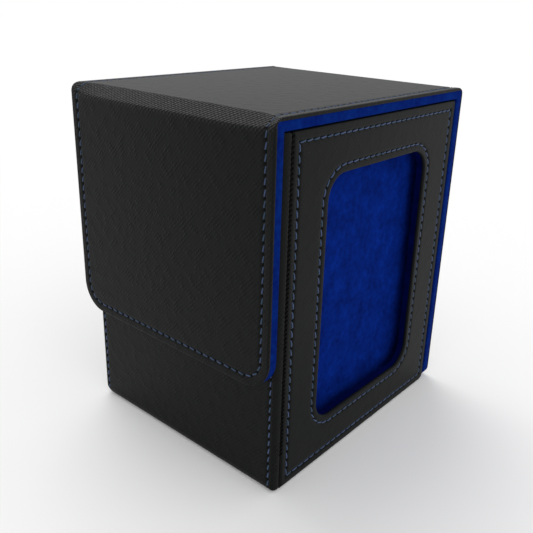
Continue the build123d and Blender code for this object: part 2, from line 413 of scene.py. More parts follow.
def whole_piece(name, mesh, material):
    """An object from a mesh, its faces turned outwards and shaded as a smooth surface."""
    shell = bmesh.new()
    shell.from_mesh(mesh)
    bmesh.ops.recalc_face_normals(shell, faces=shell.faces)
    shell.to_mesh(mesh)
    shell.free()
    mesh.shade_smooth()
    mesh.materials.append(material)
    piece = bpy.data.objects.new(name, mesh)
    scene.collection.objects.link(piece)
    return piece


def surface(name, points, material, closed=True, ring=False, tags=()):
    """A piece from points in millimetres, rows by columns. Points that fall together are
    joined, which closes middles and poles, and faces that then lie back to back are left
    out. Open columns are closed by a flat end."""
    rows, columns = points.shape[:2]
    _, first, joined = np.unique(
        np.round(points.reshape(-1, 3), 4), axis=0, return_index=True, return_inverse=True
    )
    index = joined.reshape(rows, columns)
    wide = np.hstack([index, index[:, :1]]) if closed else index
    wide = np.vstack([wide, wide[:1]]) if ring else wide
    quads = np.stack([wide[:-1, :-1], wide[1:, :-1], wide[1:, 1:], wide[:-1, 1:]], -1).reshape(-1, 4)
    repeats = quads == np.roll(quads, -1, axis=1)
    whole = quads[~repeats.any(1) & (quads[:, 0] != quads[:, 2]) & (quads[:, 1] != quads[:, 3])]
    thin = quads[repeats.sum(1) == 1]
    threes = thin[thin != np.roll(thin, -1, axis=1)].reshape(-1, 3)
    _, same, count = np.unique(np.sort(whole, axis=1), axis=0, return_inverse=True, return_counts=True)
    whole = whole[count[same.ravel()] == 1]
    ends = []
    if not closed:
        meeting = np.flatnonzero(index[:, 0] == index[:, -1])[-1] if ring else 0
        section = np.roll(index, -meeting, axis=0)
        ends.append(list(dict.fromkeys([*section[:, 0], *section[::-1, -1]])))
    mesh = bpy.data.meshes.new(name)
    mesh.from_pydata(points.reshape(-1, 3)[first] * MM, [], [*whole.tolist(), *threes.tolist(), *ends])
    for tag, values in dict(tags).items():
        kind = "FLOAT_VECTOR" if values.ndim == 3 else "FLOAT"
        held = mesh.attributes.new(tag, kind, "POINT")
        flat = values.reshape(rows * columns, -1)[first].astype(np.float32)
        held.data.foreach_set("vector" if values.ndim == 3 else "value", flat.ravel())
    piece = whole_piece(name, mesh, material)
    mesh.set_sharp_from_angle(angle=math.radians(SHARP_ANGLE))
    return piece


SEAM_GROOVE = 0.2
SEAM_WIDTH = 0.6
HOLE_DEPTH = 0.42
HOLE_WIDTH = 0.36


def nearest(flat, holes):
    """Distance from each flat point to the needle hole nearest to it."""
    gap = [np.linalg.norm(line[:, None] - holes, axis=2).min(1) for line in flat]
    return np.array(gap)


def leather_piece(name, edge, rows, faces, seams, place, pattern, closed=True, lay=inset):
    """A piece of leatherette. Its height is the section's, less a bell-shaped groove along
    each seam and a deeper one at each needle hole, both on its outer faces alone. A seam is
    how far each point is from its line, and its holes. The pattern tags each point with its
    place on the uncut sheet, and with how deep the embossing stands there."""
    by, height, unrolled = rows
    flat = lay(edge, by)
    height = height.copy()
    # Each needle hole is marked, so that the leatherette round it is painted dark: painted shade.
    pierced = np.zeros(by.shape)
    for away, holes in seams:
        hole = np.exp(-((nearest(flat[faces], holes) / HOLE_WIDTH) ** 2))
        groove = np.exp(-((away(flat[faces], by[faces]) / SEAM_WIDTH) ** 2))
        height[faces] -= SEAM_GROOVE * groove + HOLE_DEPTH * hole
        pierced[faces] = np.maximum(pierced[faces], hole)
    points = place(flat[..., 0], flat[..., 1], height)
    tags = {"sheet_place": pattern(lay(edge, unrolled)), "needle_hole": pierced}
    return surface(name, points, leatherette, closed, tags=tags)


def cut_straight(emboss):
    """The pattern of a flat piece cut with its grain rising to the right, embossed alike
    all over."""
    return lambda flat: np.concatenate([flat, np.full_like(flat[..., :1], emboss)], -1)


leatherette = blank("cross_grain_leatherette")
sheet = add(leatherette, "ShaderNodeAttribute", attribute_name="sheet_place").outputs["Vector"]
pierced = add(leatherette, "ShaderNodeAttribute", attribute_name="needle_hole").outputs["Fac"]
depth = add(leatherette, "ShaderNodeSeparateXYZ", {0: sheet}).outputs["Z"]
level = add(leatherette, "ShaderNodeVectorMath", {0: sheet, 1: (1, 1, 0)}, operation="MULTIPLY")
wander, worn, pebble = [
    add(
        leatherette, "ShaderNodeTexNoise",
        {"Vector": level.outputs[0], "Scale": 1 / size, "Detail": detail},
    ).outputs["Fac"]
    for size, detail in ((GRAIN_WANDER_SIZE, 2.0), (GRAIN_WORN_SIZE, 3.0), (PEBBLE, 1.0))
]
sway = add(
    leatherette, "ShaderNodeMath", {0: wander, 1: 2 * GRAIN_WANDER, 2: -GRAIN_WANDER},
    operation="MULTIPLY_ADD",
)
ridges = []
for angle, cut in ((GRAIN_ANGLE, 1.0), (180 - GRAIN_ANGLE, GRAIN_CROSS)):
    across = (math.sin(math.radians(angle)) / GRAIN_PITCH, -math.cos(math.radians(angle)) / GRAIN_PITCH, 0)
    count = add(leatherette, "ShaderNodeVectorMath", {0: sheet, 1: across}, operation="DOT_PRODUCT")
    bent = add(
        leatherette, "ShaderNodeMath", {0: count.outputs["Value"], 1: sway.outputs[0]}, operation="ADD"
    )
    fold = add(leatherette, "ShaderNodeMath", {0: bent.outputs[0], 1: 0.5}, operation="PINGPONG")
    ridge = add(
        leatherette, "ShaderNodeMapRange",
        {"Value": fold.outputs[0], "From Max": GRAIN_GROOVE, "To Min": 1 - cut},
        interpolation_type="SMOOTHSTEP",
    )
    ridges.append(ridge.outputs[0])
beads = add(leatherette, "ShaderNodeMath", {0: ridges[0], 1: ridges[1]}, operation="MULTIPLY")
skin = add(
    leatherette, "ShaderNodeMath", {0: pebble, 1: PEBBLE_SHARE, 2: beads.outputs[0]},
    operation="MULTIPLY_ADD",
)
smooth = add(leatherette, "ShaderNodeMath", {0: depth, 1: GRAIN_WORN_OFF}, operation="POWER")
kept = add(
    leatherette, "ShaderNodeMapRange",
    {"Value": worn, "From Min": GRAIN_WORN[0], "From Max": GRAIN_WORN[1], "To Min": smooth.outputs[0]},
)
stamped = add(leatherette, "ShaderNodeMath", {0: depth, 1: kept.outputs[0]}, operation="MULTIPLY")
height = add(
    leatherette, "ShaderNodeMath", {0: skin.outputs[0], 1: stamped.outputs[0]}, operation="MULTIPLY"
)
relief = add(leatherette, "ShaderNodeBump", {"Height": height.outputs[0], "Distance": GRAIN_HEIGHT * MM})
# The grain's grooves and the needle holes are painted towards near black, with less gloss: painted shade.
groove = add(
    leatherette, "ShaderNodeMath", {0: beads.outputs[0], 1: -GRAIN_SHADE, 2: GRAIN_SHADE},
    operation="MULTIPLY_ADD",
)
shaded = add(
    leatherette, "ShaderNodeMath", {0: groove.outputs[0], 1: stamped.outputs[0]}, operation="MULTIPLY"
)
hidden = add(leatherette, "ShaderNodeMath", {0: shaded.outputs[0], 1: pierced}, operation="MAXIMUM")
dyed_and_shaded = add(
    leatherette, "ShaderNodeMix",
    {0: hidden.outputs[0], 6: linear(LEATHER_BLACK), 7: linear(PAINTED_SHADE_BLACK)}, data_type="RGBA",
)
matt = add(
    leatherette, "ShaderNodeMapRange", {"Value": hidden.outputs[0], "To Min": LEATHER_GLOSS, "To Max": 0.0}
)
proud = add(
    leatherette, "ShaderNodeMath", {0: smooth.outputs[0], 1: beads.outputs[0]}, operation="MULTIPLY"
)
sheen = add(
    leatherette, "ShaderNodeMath", {0: proud.outputs[0], 1: GRAIN_POLISH, 2: matt.outputs[0]},
    operation="MULTIPLY_ADD",
)
vinyl = add(
    leatherette, "ShaderNodeBsdfPrincipled",
    {
        "Base Color": dyed_and_shaded.outputs[2], "Roughness": LEATHER_ROUGH,
        "Specular IOR Level": sheen.outputs[0], "Normal": relief.outputs[0],
    },
)
add(leatherette, "ShaderNodeOutputMaterial", {"Surface": vinyl.outputs[0]})

low, high = span("base_cover")
base_size = high - low
base_edge = rectangle(base_size[0], base_size[1], [BASE_EDGE] * 4, BASE_STEPS, BASE_BENDS)
base_middle = base_size[:2].min() / 2
base_rows = edge_rows(
    len(base_edge), np.linspace(base_middle, 0, BASE_ROWS), base_middle, BASE_EDGE, base_size[2],
    BASE_BREAK, [(base_middle, -base_size[2])], BASE_BENDS,
)
base_place = flat_on(((low[0] + high[0]) / 2, (low[1] + high[1]) / 2, low[2]), (1, 0, 0), (0, -1, 0))
base_skin = leather_piece(
    "base_leatherette", base_edge, base_rows, slice(0, 0), [], base_place, cut_straight(BASE_EMBOSS)
)
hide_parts("base_cover")
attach(base_skin, "box")

# The walls: each is a board wrapped in leatherette, which turns over its edges by a few
# millimetres. The front and rear walls bend softly under at the foot, and two rows of
# stitching run down the front wall. The plain side wall is sewn all round.
WALL_SKIN = 0.9
WALL_TURNED = 0.4
EDGE_UNDER = 0.3
RIM_TURN_IN = 4.0
WALL_CORNERS = (0.9, 0.9, 0.9, 0.9)
FRONT_CORNERS = (3.4, 0.9, 0.9, 1.4)
# How long an edge's round is and how deep, at the foot of a wall, at its ends and on top.
FOOT_ROUND = (2.6, 2.2)
END_ROUND = (1.4, 2.2)
TOP_ROUND = (0.6, 0.6)
FOOT_SKIN = 2.6
FRONT_SEAM = 2.1
FRONT_SEAM_ENDS = (1.6, 1.2)
SIDE_SEAM = 2.9
# How far the linings of the front and of the side wall stand in from its edges.
FRONT_LINING = 2.75
SIDE_LINING = 2.4
FRONT_STEPS = (170, 230)
REAR_STEPS = (60, 60)
SIDE_STEPS = (180, 230)
PLAIN_ROWS = 10
WALL_EMBOSS = 0.42
STITCH_PITCH = 2.74
SAME_PLACE = 1e-6
# A corner of a seam is sharp where the cosine of its turn is under this.
SHARP_TURN = 0.5
# How far a stitch shows from its needle hole, and half its width.
STITCH_CUT = (0.28, 0.25)
STITCH_SLANT = 0.2
THREAD_DEPTH = 0.23
THREAD_LIFT = 0.01
THREAD_SINK = 0.5
THREAD_FLAT = 5
THREAD_BLUE = ("#2e4864", "#4c5a88")
THREAD_GLOSS = 0.32
THREAD_ROUGH = 0.55
THREAD_TWIST = 0.8
THREAD_FUZZ = 0.3
THREAD_FUZZ_ROUGH = 0.4
THREAD_PLIES = 2
# The share of a turn over which a ply rises to its full height.
PLY_RISE = 0.2
PLY_HEIGHT = 0.05
SHADE_SEED = 7
FINE_STEP = 0.3
FINE_REACH = 6.0


def face_steps(middle, coarse=7):
    """Insets of the rows of a face: coarse from the middle, and fine out to the edge."""
    return np.r_[np.linspace(middle, FINE_REACH, coarse + 1)[:-1], np.arange(FINE_REACH, 0, -FINE_STEP), 0]


def needle_holes(line, closed=True):
    """Needle holes at an even pitch along a line of flat points. A sharp corner always has
    a hole, and each run between corners is shared out evenly."""
    line = np.vstack([line, line[:1]]) if closed else line
    steps = np.linalg.norm(np.diff(line, axis=0), axis=1)
    line = line[np.r_[True, steps > SAME_PLACE]]
    steps = steps[steps > SAME_PLACE]
    travel = np.r_[0, np.cumsum(steps)]
    heading = np.diff(line, axis=0) / steps[:, None]
    sharp = (heading[1:] * heading[:-1]).sum(1) < SHARP_TURN
    stops = np.r_[0, travel[1:-1][sharp], travel[-1]]
    shares = [
        np.linspace(a, b, max(1, round((b - a) / STITCH_PITCH)) + 1)[:-1]
        for a, b in zip(stops[:-1], stops[1:])
    ]
    at = np.concatenate(shares) if closed else np.r_[np.concatenate(shares), travel[-1]]
    return np.stack([np.interp(at, travel, line[:, k]) for k in (0, 1)], -1)


def stitches(
    name, runs, place, material, lean=1, level=-SEAM_GROOVE, way=1, cut=STITCH_CUT, rings=7, sides=6
):
    """Rows of thread, each visible stitch an arched tube between two needle holes. Its
    height is a flat-topped arch that sinks into the holes at both ends, and it leans a
    little across the row. Runs are pairs of holes and whether the row closes, and a way of
    -1 turns the arches over, for the thread that shows on the back."""
    gap, width = cut
    starts = np.concatenate([holes if shut else holes[:-1] for holes, shut in runs])
    ends = np.concatenate([np.roll(holes, -1, 0) if shut else holes[1:] for holes, shut in runs])
    length = np.linalg.norm(ends - starts, axis=1)
    along = (ends - starts) / length[:, None]
    across = np.stack([-along[:, 1], along[:, 0]], 1)
    share = np.linspace(0, 1, rings)
    shade = np.random.default_rng(SHADE_SEED).random(len(starts))
    run = gap + share * (length[:, None] - 2 * gap)
    aside = lean * STITCH_SLANT * (2 * share - 1)
    arch = THREAD_LIFT - (THREAD_LIFT + THREAD_SINK) * np.abs(2 * share - 1) ** THREAD_FLAT
    angle = np.linspace(0, 2 * math.pi, sides, endpoint=False)
    side = aside[None, :, None] + width * np.cos(angle)
    height = level + way * (arch[None, :, None] + THREAD_DEPTH * np.sin(angle))
    side, height = (np.broadcast_to(v, (len(starts), rings, sides)) for v in (side, height))
    flat = (
        starts[:, None, None] + run[..., None, None] * along[:, None, None]
        + side[..., None] * across[:, None, None]
    )
    points = place(flat[..., 0], flat[..., 1], height).reshape(-1, 3) * MM
    ring = np.arange(rings - 1)[:, None] * sides
    turn = np.arange(sides)
    after = (turn + 1) % sides
    tube = np.stack([ring + turn, ring + after, ring + sides + after, ring + sides + turn], -1)
    base = np.arange(len(starts))[:, None, None] * rings * sides
    quads = (base + tube.reshape(-1, 4)).reshape(-1, 4)
    first = base[:, 0] + turn[::-1]
    last = base[:, 0] + (rings - 1) * sides + turn
    mesh = bpy.data.meshes.new(name)
    mesh.from_pydata(points, [], [*quads.tolist(), *first.tolist(), *last.tolist()])
    lie = mesh.attributes.new("thread_lie", "FLOAT_VECTOR", "POINT")
    lies = np.stack(np.broadcast_arrays(run[..., None], angle / (2 * math.pi), shade[:, None, None]), -1)
    lie.data.foreach_set("vector", lies.astype(np.float32).ravel())
    piece = whole_piece(name, mesh, material)
    return piece


def sewing_thread(name, shades, gloss):
    """Bonded polyester thread of two plies, twisted. To the eye it has a faint sheen, and
    fine light and dark bands run round it."""
    made = blank(name)
    lie = add(made, "ShaderNodeAttribute", attribute_name="thread_lie")
    part = add(made, "ShaderNodeSeparateXYZ", {0: lie.outputs["Vector"]})
    turn = add(
        made, "ShaderNodeMath", {0: part.outputs["X"], 1: 1 / THREAD_TWIST, 2: part.outputs["Y"]},
        operation="MULTIPLY_ADD",
    )
    ply = add(made, "ShaderNodeMath", {0: turn.outputs[0], 1: 0.5 / THREAD_PLIES}, operation="PINGPONG")
    round_ply = add(
        made, "ShaderNodeMapRange", {"Value": ply.outputs[0], "From Max": PLY_RISE},
        interpolation_type="SMOOTHSTEP",
    )
    twist = add(made, "ShaderNodeBump", {"Height": round_ply.outputs[0], "Distance": PLY_HEIGHT * MM})
    # Each stitch has its own random shade, but the valleys between the plies always take the darker one:
    # painted shade.
    dark = add(
        made, "ShaderNodeMath", {0: part.outputs["Z"], 1: round_ply.outputs[0]}, operation="MULTIPLY"
    )
    colour = add(
        made, "ShaderNodeMix", {0: dark.outputs[0], 6: linear(shades[0]), 7: linear(shades[1])},
        data_type="RGBA",
    )
    bonded = add(
        made, "ShaderNodeBsdfPrincipled",
        {
            "Base Color": colour.outputs[2], "Roughness": THREAD_ROUGH, "Specular IOR Level": gloss,
            "Sheen Weight": gloss * THREAD_FUZZ, "Sheen Roughness": THREAD_FUZZ_ROUGH,
            "Normal": twist.outputs[0],
        },
    )
    add(made, "ShaderNodeOutputMaterial", {"Surface": bonded.outputs[0]})
    return made


blue_thread = sewing_thread("steel_blue_thread", THREAD_BLUE, THREAD_GLOSS)


def wrapped_wall(node, lining_inset, place, steps, seams, rounds, sewn, corners=WALL_CORNERS):
    """A wall's wrapped leatherette. Rounds are those of the edge along the top, the sides
    and the foot, blended by how far each column faces that way."""
    low, high = span(node)
    size = high - low
    width, thick = (size[0], size[1]) if size[0] > size[1] else (size[1], size[0])
    edge = rectangle(width, size[2], corners, steps)
    facing = edge[:, 11:]
    top, foot = np.maximum(facing[:, 1], 0) ** 2, np.maximum(-facing[:, 1], 0) ** 2
    beside = facing[:, 0] ** 2
    over, drop = (rounds[0][k] * top + rounds[1][k] * beside + rounds[2][k] * foot for k in (0, 1))
    turn_in = RIM_TURN_IN * top + lining_inset * (beside + foot)
    middle = min(width, size[2]) / 2
    face = face_steps(middle) if sewn else np.linspace(middle, 0, PLAIN_ROWS)
    under = thick - WALL_TURNED
    within = WALL_SKIN + (FOOT_SKIN - WALL_SKIN) * foot
    tail = [
        (turn_in, -thick), (turn_in, -under), (within, -under), (within, -WALL_SKIN), (middle, -WALL_SKIN),
    ]
    rows = edge_rows(len(edge), face, middle, over, thick, EDGE_UNDER, tail, drop=drop)
    made = seams(edge)

    def lay(edge, by):
        """Set in like any outline, but the edge that is turned in over the top keeps its
        full width, so that it fills both upper corners."""
        flat = inset(edge, by)
        turned = slice(-len(tail), -len(tail) + 2)
        flat[turned, :, 0] = inset(edge, np.minimum(by[turned], lining_inset))[..., 0]
        return flat

    piece = leather_piece(
        node.replace("_cover", "_leatherette"), edge, rows, slice(0, len(face)), made, place,
        cut_straight(WALL_EMBOSS), lay=lay,
    )
    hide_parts(node)
    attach(piece, "box")
    return made


low, high = span("front_wall_cover")
front_place = flat_on(((low[0] + high[0]) / 2, low[1], (low[2] + high[2]) / 2), (1, 0, 0), (0, 0, 1))
front_half = np.array([(high[0] - low[0]) / 2 - FRONT_SEAM, (high[2] - low[2]) / 2])


def front_seams(edge):
    """Two upright rows, the same distance in from both ends of the front wall."""
    foot, top = FRONT_SEAM_ENDS[0] - front_half[1], front_half[1] - FRONT_SEAM_ENDS[1]
    made = []
    for x in (-front_half[0], front_half[0]):
        holes = needle_holes(np.array([(x, foot), (x, top)]), closed=False)
        made.append((lambda flat, by, x=x: flat[..., 0] - x, holes))
    return made


front_sewn = wrapped_wall(
    "front_wall_cover", FRONT_LINING, front_place, FRONT_STEPS, front_seams,
    (TOP_ROUND, END_ROUND, FOOT_ROUND), True, FRONT_CORNERS,
)
front_thread = stitches(
    "front_wall_stitching", [(holes, False) for _, holes in front_sewn], front_place, blue_thread, lean=-1
)
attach(front_thread, "box")

low, high = span("rear_wall_cover")
rear_place = flat_on(((low[0] + high[0]) / 2, high[1], (low[2] + high[2]) / 2), (-1, 0, 0), (0, 0, 1))
wrapped_wall(
    "rear_wall_cover", WALL_TURNED, rear_place, REAR_STEPS, lambda edge: [],
    (TOP_ROUND, (WALL_TURNED, WALL_TURNED), FOOT_ROUND), False,
)


def seam_round(distance):
    """One closed row of stitching at a distance in from an outline."""
    def made(edge):
        return [(lambda flat, by: by - distance, needle_holes(inset(edge, distance)[0]))]
    return made


low, high = span("side_wall_cover")
side_place = flat_on((low[0], (low[1] + high[1]) / 2, (low[2] + high[2]) / 2), (0, -1, 0), (0, 0, 1))
side_sewn = wrapped_wall(
    "side_wall_cover", SIDE_LINING, side_place, SIDE_STEPS, seam_round(SIDE_SEAM), (TOP_ROUND,) * 3, True
)
side_row = [(side_sewn[0][1], True)]
side_thread = stitches("side_wall_stitching", side_row, side_place, blue_thread)
side_back = stitches(
    "side_wall_back_stitching", side_row, side_place, blue_thread,
    level=SEAM_GROOVE + low[0] - high[0], way=-1,
)
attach(side_thread, "box")
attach(side_back, "box")

# The display frame: a wrapped board with a round-cornered window. Its leatherette turns
# over the outer edges and stops just inside the window, where the blue lining comes
# through. It is sewn round the outside and round the window.
WINDOW_SIZE = (50.4, 75.1)
WINDOW_LOW = 14.5
WINDOW_MIDDLE = (1.4, WINDOW_LOW + WINDOW_SIZE[1] / 2)
WINDOW_ROUND = 7.0
WINDOW_SEAM = 2.4
WINDOW_LIP = 0.6
FRAME_SEAM = 2.9
FRAME_CORNERS = (0.3, 0.9, 0.9, 2.0)
SEAM_ROUND = 1.2
FRAME_STITCH = (0.15, 0.21)
FRAME_STEPS = (190, 240)
FRAME_BENDS = 24
FRAME_REACH = 5.4
LIP_ROWS = 6
BRIDGE_ROWS = 7
FRAME_EMBOSS = 0.16
FAR_AWAY = 99.0

low, high = span("display_frame_cover")
frame_size = high - low
frame_centre = np.array([(low[1] + high[1]) / 2, (low[2] + high[2]) / 2])
frame_place = flat_on((high[0], *frame_centre), (0, 1, 0), (0, 0, 1))
frame_edge = rectangle(frame_size[1], frame_size[2], FRAME_CORNERS, FRAME_STEPS, FRAME_BENDS)
window_edge = rectangle(*WINDOW_SIZE, [WINDOW_ROUND] * 4, FRAME_STEPS, FRAME_BENDS)
window_edge[:, [0, 1]] += np.array(WINDOW_MIDDLE) - frame_centre
window_edge[:, [5, 6]] += np.array(WINDOW_MIDDLE) - frame_centre
frame_columns = len(frame_edge)

# Three parts from the window outwards: its lip, a plain bridge, and the wrapped outer edge.
frame_back = -frame_size[0]
frame_face = np.r_[np.arange(FRAME_REACH, 0, -FINE_STEP), 0]
frame_tail = [
    (RIM_TURN_IN, frame_back), (RIM_TURN_IN, frame_back + WALL_TURNED),
    (WALL_SKIN, frame_back + WALL_TURNED), (WALL_SKIN, -WALL_SKIN),
]
by_seam = np.maximum(-frame_edge[:, 11], 0) ** 2
frame_over = TOP_ROUND[0] + (SEAM_ROUND - TOP_ROUND[0]) * by_seam
outer_by, outer_height, outer_unrolled = edge_rows(
    frame_columns, frame_face, FINE_REACH, frame_over, frame_size[0], EDGE_UNDER, frame_tail
)
turn = np.linspace(math.pi / 2, 0, LIP_ROWS)
lip_round = WINDOW_LIP * np.stack([np.sin(turn) - 1, np.cos(turn) - 1], -1)
lip_face = np.arange(FINE_STEP, FRAME_REACH, FINE_STEP)
lip_by = np.r_[0.0, lip_round[:, 0], -WINDOW_LIP - lip_face]
lip_height = np.r_[-WALL_SKIN, lip_round[:, 1], 0 * lip_face]
lip_by, lip_height = (np.tile(v[:, None], (1, frame_columns)) for v in (lip_by, lip_height))

outer_flat = inset(frame_edge, outer_by)
lip_flat = inset(window_edge, lip_by)
share = np.linspace(0, 1, BRIDGE_ROWS)[1:-1, None, None]
bridge_flat = lip_flat[-1] * (1 - share) + outer_flat[0] * share
bridge_level = np.zeros(bridge_flat.shape[:2])
frame_flat = np.concatenate([lip_flat, bridge_flat, outer_flat])
frame_height = np.concatenate([lip_height, bridge_level, outer_height])
frame_cut = np.concatenate([lip_flat, bridge_flat, inset(frame_edge, outer_unrolled)])
frame_faces = slice(1 + len(turn), len(lip_flat) + len(bridge_flat) + len(frame_face))

outer_holes = needle_holes(inset(frame_edge, FRAME_SEAM)[0])
window_holes = needle_holes(inset(window_edge, -WINDOW_SEAM)[0])
from_outer = np.concatenate([lip_height + FAR_AWAY, bridge_level + FAR_AWAY, outer_by])
from_window = np.concatenate([-lip_by, bridge_level + FAR_AWAY, outer_height + FAR_AWAY])
# The frame's needle holes are marked for the same painted shade.
frame_pierced = np.zeros(frame_height.shape)
frame_seams = ((from_outer, FRAME_SEAM, outer_holes), (from_window, WINDOW_SEAM, window_holes))
for away, seam_at, holes in frame_seams:
    hole = np.exp(-((nearest(frame_flat[frame_faces], holes) / HOLE_WIDTH) ** 2))
    groove = np.exp(-(((away[frame_faces] - seam_at) / SEAM_WIDTH) ** 2))
    frame_height[frame_faces] -= SEAM_GROOVE * groove + HOLE_DEPTH * hole
    frame_pierced[frame_faces] = np.maximum(frame_pierced[frame_faces], hole)
frame_tags = {"sheet_place": cut_straight(FRAME_EMBOSS)(frame_cut * (-1, 1)), "needle_hole": frame_pierced}
frame_skin = surface(
    "display_frame_leatherette", frame_place(frame_flat[..., 0], frame_flat[..., 1], frame_height),
    leatherette, ring=True, tags=frame_tags,
)
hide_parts("display_frame_cover")
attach(frame_skin, "box")

frame_thread = stitches(
    "display_frame_stitching", [(outer_holes, True), (window_holes, True)], frame_place, blue_thread,
    cut=FRAME_STITCH,
)
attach(frame_thread, "box")

# The corner seam: black thread whipped over the joint between the front wall's end and
# each side panel. Under it a black tube lies in the joint: painted shade, which with the
# stitches shows as a toothed black line.
WHIP_PITCH = 1.3
WHIP_RISE = WHIP_PITCH / 3
WHIP_LOW = 12.0
WHIP_TOP = 1.5
WHIP_REACH = (0.5, 1.1)
WHIP_CUT = (0.0, 0.3)
WHIP_BLACK = ("#060606", "#0b0b0b")
WHIP_GLOSS = 0.02
WHIP_LEVEL = -0.03
# A black tube in the joint under the stitches, painted shade: its round, sides, depth and lowest point.
SHADE_TUBE_ROUND = 0.65
SHADE_TUBE_SIDES = 10
SHADE_TUBE_LEVEL = -0.62
SHADE_TUBE_LOW = 1.5

black_thread = sewing_thread("black_corner_thread", WHIP_BLACK, WHIP_GLOSS)
wall_low, wall_high = span("front_wall_cover")
joint_y = (wall_high[1] + span("display_frame_cover")[0][1]) / 2


def corner_seam(name, place, flip):
    """One short stitch over the joint at every pitch, each a little higher at its far end,
    and under them a black tube, painted shade for the joint: a circle carried straight up,
    closed at both ends."""
    levels = np.arange(WHIP_LOW, wall_high[2] - WHIP_TOP, WHIP_PITCH)
    near = np.stack([np.full_like(levels, flip * (joint_y - WHIP_REACH[0])), levels], -1)
    far = np.stack([np.full_like(levels, flip * (joint_y + WHIP_REACH[1])), levels + WHIP_RISE], -1)
    runs = [(np.stack(pair), False) for pair in zip(near, far)]
    whip = stitches(name, runs, place, black_thread, lean=0, level=WHIP_LEVEL, cut=WHIP_CUT)
    turn = np.linspace(0, 2 * math.pi, SHADE_TUBE_SIDES, endpoint=False)
    size = SHADE_TUBE_ROUND * np.array([0, 1, 1, 0])[:, None]
    up = np.array([SHADE_TUBE_LOW, SHADE_TUBE_LOW, wall_high[2] - WHIP_TOP, wall_high[2] - WHIP_TOP])[:, None]
    points = place(flip * joint_y + size * np.cos(turn), up + 0 * turn, SHADE_TUBE_LEVEL + size * np.sin(turn))
    shade_tube = surface(name + "_shade_tube", points, black_thread)
    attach(shade_tube, "box")
    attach(whip, "box")


corner_seam("right_corner_seam", flat_on((wall_high[0], 0, 0), (0, 1, 0), (0, 0, 1)), 1)
corner_seam("left_corner_seam", flat_on((wall_low[0], 0, 0), (0, -1, 0), (0, 0, 1)), -1)

# The lid strip: one sheet of leatherette outside and one of microfibre inside, glued over
# three boards. Between two boards the sheet spans the gap as a flat facet between two soft
# creases, and the stretch opens its grain. It is drawn flat, then laid on in two parts.
STRIP_EDGE = 0.5
FLAP_ROUND = 8.7
BACK_ROUND = 3.4
STRIP_SEAM = 2.8
STRIP_STEP = 0.45
FOLD_STEP = 0.13
FOLD_MARGIN = 1.0
# Half the width of a narrow band about the fold's middle, on the lid's side and on the hanging side.
HINGE_TURN = 0.45
EDGE_BREAK = 0.12
LINING_SHEET = 0.4
LINING_BENDS = 5
# How far a fold starts from the corner of the strip, on the lid and then on the way down,
# in its middle and at its sides.
FRONT_FOLD = ((5.0, 3.7), (2.7, 2.7))
REAR_FOLD = ((4.0, 4.0), (2.7, 2.7))
REAR_LEAD = 0.6
# The power with which a fold changes towards its sides, how much each millimetre of depth
# narrows it, and how much more at the sides.
FOLD_FADE = 10
FOLD_TAPER = 1.25
FOLD_TUCK = 0.95
CREASE_ROUND = (1.0, 2.7)
TIGHTEST = 0.2
LID_EMBOSS = 0.25
FLAP_EMBOSS = 0.45
FOLD_EMBOSS = 1.0
# How far the open grain reaches over a fold, and the power with which it ends.
FOLD_GRAIN = (1.9, 8)
MIDDLE_ROWS = 10
# How far from the strip's lower end the columns of that end meet on the middle line.
FAN_REACH = 9.0
BACK_STEPS = (1.5, 3.0, 4.5, 6.0, 9.0, 13.0, 18.0, 26.0)
NAP_STRIP = ("#04185f", "#082a76")
# The strip's thread is the walls' blue thread in darker shades with less gloss: painted
# shade for the thread lying in its groove.
STRIP_THREAD_SHADES = ("#283f57", "#414e76")
STRIP_THREAD_GLOSS = 0.26

strip_low, strip_high = span("lid_cover")
half_width = strip_high[0]
top_z = strip_high[2]
skin_thick = strip_high[2] - strip_low[2]
strip_thick = top_z - span("lid_lining")[0][2]
cut_y = span("rear_fold_cover")[0][1]
half_depth = span("rear_fold_cover")[1][1]
bend_reach = half_depth - cut_y
bend_run = bend_reach * math.pi / 2
strip_microfibre = brushed_microfibre("strip_microfibre", NAP_STRIP)
# A darker copy of the blue thread: painted shade.
strip_thread = sewing_thread("strip_thread_painted_shade", STRIP_THREAD_SHADES, STRIP_THREAD_GLOSS)


def strip_place(facing, start, lid_run, low_z, sizes):
    """Lays flat work over the lid strip. Its y is the way along the strip from the cut
    behind the lid: along the lid, over the fold, and down to low_z. A fold turns round an
    arc up to the slope of its facet, runs straight, and turns round an arc again. Its
    sizes fall from the first pair to the second with a high power of the way across, and
    with depth. Facing is -1 for the front and 1 for the rear."""
    drop_run = top_z - bend_reach - low_z
    quarter = math.pi / 2

    def place(x, y, height):
        side = np.minimum(np.abs(x) / half_width, 1) ** FOLD_FADE
        back, low = (
            np.maximum(middle + (end - middle) * side + height * (FOLD_TAPER + FOLD_TUCK * side), TIGHTEST)
            for middle, end in zip(*sizes)
        )
        crease = CREASE_ROUND[0] + (CREASE_ROUND[1] - CREASE_ROUND[0]) * side
        radius = np.clip(crease + height, TIGHTEST, np.minimum(back, low))
        slope = np.arctan2(low - radius, back - radius)
        facet = np.hypot(low - radius, back - radius)
        travel = np.clip((y - lid_run) / bend_run, 0, 1) * (quarter * radius + facet)
        upper = np.clip(travel / radius, 0, slope)
        lower = np.clip((travel - facet) / radius - slope, 0, quarter - slope)
        angle = upper + lower
        slide = np.clip(travel - slope * radius, 0, facet)
        reach = half_depth + height - back
        on_lid = np.minimum(y / lid_run, 1)
        down = np.maximum((y - lid_run - bend_run) / drop_run, 0)
        deep = start + (reach - start) * on_lid + radius * np.sin(angle) + slide * np.cos(slope)
        fall = radius * (1 - np.cos(angle)) + slide * np.sin(slope) + down * (top_z + height - low - low_z)
        return np.stack([x, facing * deep, top_z + height - fall], -1)

    return place


